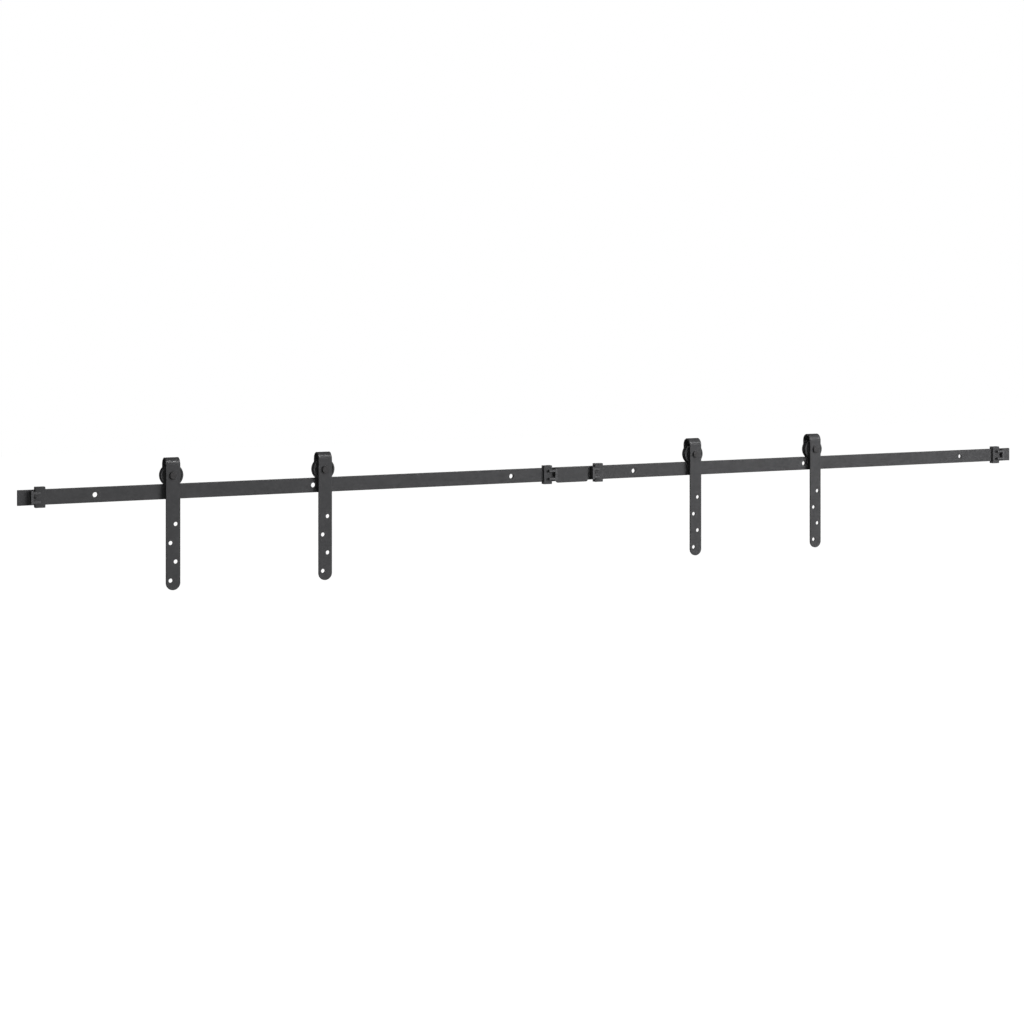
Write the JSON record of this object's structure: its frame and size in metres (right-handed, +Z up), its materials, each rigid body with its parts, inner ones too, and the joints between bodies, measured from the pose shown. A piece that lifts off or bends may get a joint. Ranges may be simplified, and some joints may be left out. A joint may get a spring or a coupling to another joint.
{
  "type": "sliding barn door hardware",
  "caption": "Two-piece flat rail for a pair of sliding barn doors, with folded strap hangers on grooved wheels and clamped end stops.",
  "frame": {"origin": "on the rails' back face, at mid height, where the two rails meet", "axes": "+X along the rail to the right seen from the front, +Y into the wall, +Z up"},
  "size_m": [2, 0.0347, 0.2183],
  "materials": {
    "rail_steel": "matt black powder coat with a fine texture",
    "connector_steel": "matt black powder coat",
    "stop_steel": "matt black powder coat",
    "strap_steel": "matt black powder coat, a little smoother on the bend",
    "black_fasteners": "black oxide with a slight oily gloss",
    "zinc_screws": "zinc plated",
    "buffer_rubber": "black rubber",
    "wheel_nylon": "moulded black nylon",
    "bearing_steel": "ground bearing steel"
  },
  "bodies": {
    "rails": {"left_rail": "rail_steel", "right_rail": "rail_steel", "rail_connector": "connector_steel", "connector_screws": "zinc_screws", "stop_1_shoe": "stop_steel", "stop_1_guard": "stop_steel", "stop_1_buffers": "buffer_rubber", "stop_1_set_screw": "black_fasteners", "stop_2_shoe": "stop_steel", "stop_2_guard": "stop_steel", "stop_2_buffers": "buffer_rubber", "stop_2_set_screw": "black_fasteners", "stop_3_shoe": "stop_steel", "stop_3_guard": "stop_steel", "stop_3_buffers": "buffer_rubber", "stop_3_set_screw": "black_fasteners", "stop_4_shoe": "stop_steel", "stop_4_guard": "stop_steel", "stop_4_buffers": "buffer_rubber", "stop_4_set_screw": "black_fasteners"},
    "hanger_1": {"hanger_1_strap": "strap_steel", "hanger_1_axle_bolt": "black_fasteners", "hanger_1_axle_nut": "black_fasteners", "hanger_1_axle_sleeves": "zinc_screws", "hanger_1_bearing_inner_ring": "bearing_steel"},
    "wheel_1": {"hanger_1_wheel": "wheel_nylon", "hanger_1_bearing_outer_ring": "bearing_steel", "hanger_1_bearing_balls": "bearing_steel", "hanger_1_bearing_shields": "bearing_steel"},
    "hanger_2": {"hanger_2_strap": "strap_steel", "hanger_2_axle_bolt": "black_fasteners", "hanger_2_axle_nut": "black_fasteners", "hanger_2_axle_sleeves": "zinc_screws", "hanger_2_bearing_inner_ring": "bearing_steel"},
    "wheel_2": {"hanger_2_wheel": "wheel_nylon", "hanger_2_bearing_outer_ring": "bearing_steel", "hanger_2_bearing_balls": "bearing_steel", "hanger_2_bearing_shields": "bearing_steel"},
    "hanger_3": {"hanger_3_strap": "strap_steel", "hanger_3_axle_bolt": "black_fasteners", "hanger_3_axle_nut": "black_fasteners", "hanger_3_axle_sleeves": "zinc_screws", "hanger_3_bearing_inner_ring": "bearing_steel"},
    "wheel_3": {"hanger_3_wheel": "wheel_nylon", "hanger_3_bearing_outer_ring": "bearing_steel", "hanger_3_bearing_balls": "bearing_steel", "hanger_3_bearing_shields": "bearing_steel"},
    "hanger_4": {"hanger_4_strap": "strap_steel", "hanger_4_axle_bolt": "black_fasteners", "hanger_4_axle_nut": "black_fasteners", "hanger_4_axle_sleeves": "zinc_screws", "hanger_4_bearing_inner_ring": "bearing_steel"},
    "wheel_4": {"hanger_4_wheel": "wheel_nylon", "hanger_4_bearing_outer_ring": "bearing_steel", "hanger_4_bearing_balls": "bearing_steel", "hanger_4_bearing_shields": "bearing_steel"}
  },
  "joints": [
    {"name": "hanger_1_slide", "type": "slide", "parent": "rails", "child": "hanger_1", "axis": [1, 0, 0], "range_m": [-0.1915, 0.4033]},
    {"name": "wheel_1_turn", "type": "hinge", "parent": "hanger_1", "child": "wheel_1", "pos_m": [-0.748, -0.0025, 0.0269], "axis": [0, 1, 0], "continuous": true},
    {"name": "hanger_2_slide", "type": "slide", "parent": "rails", "child": "hanger_2", "axis": [1, 0, 0], "range_m": [-0.1915, 0.4033]},
    {"name": "wheel_2_turn", "type": "hinge", "parent": "hanger_2", "child": "wheel_2", "pos_m": [-0.482, -0.0025, 0.0269], "axis": [0, 1, 0], "continuous": true},
    {"name": "hanger_3_slide", "type": "slide", "parent": "rails", "child": "hanger_3", "axis": [1, 0, 0], "range_m": [-0.1765, 0.4175]},
    {"name": "wheel_3_turn", "type": "hinge", "parent": "hanger_3", "child": "wheel_3", "pos_m": [0.252, -0.0025, 0.0269], "axis": [0, 1, 0], "continuous": true},
    {"name": "hanger_4_slide", "type": "slide", "parent": "rails", "child": "hanger_4", "axis": [1, 0, 0], "range_m": [-0.1765, 0.4175]},
    {"name": "wheel_4_turn", "type": "hinge", "parent": "hanger_4", "child": "wheel_4", "pos_m": [0.52, -0.0025, 0.0269], "axis": [0, 1, 0], "continuous": true}
  ],
  "couplings": [
    {"joint": "wheel_1_turn", "follows": "hanger_1_slide", "rad_per_m": 70.922},
    {"joint": "hanger_2_slide", "follows": "hanger_1_slide", "ratio": 1},
    {"joint": "wheel_2_turn", "follows": "hanger_1_slide", "rad_per_m": 70.922},
    {"joint": "wheel_3_turn", "follows": "hanger_3_slide", "rad_per_m": 70.922},
    {"joint": "hanger_4_slide", "follows": "hanger_3_slide", "ratio": 1},
    {"joint": "wheel_4_turn", "follows": "hanger_3_slide", "rad_per_m": 70.922}
  ]
}
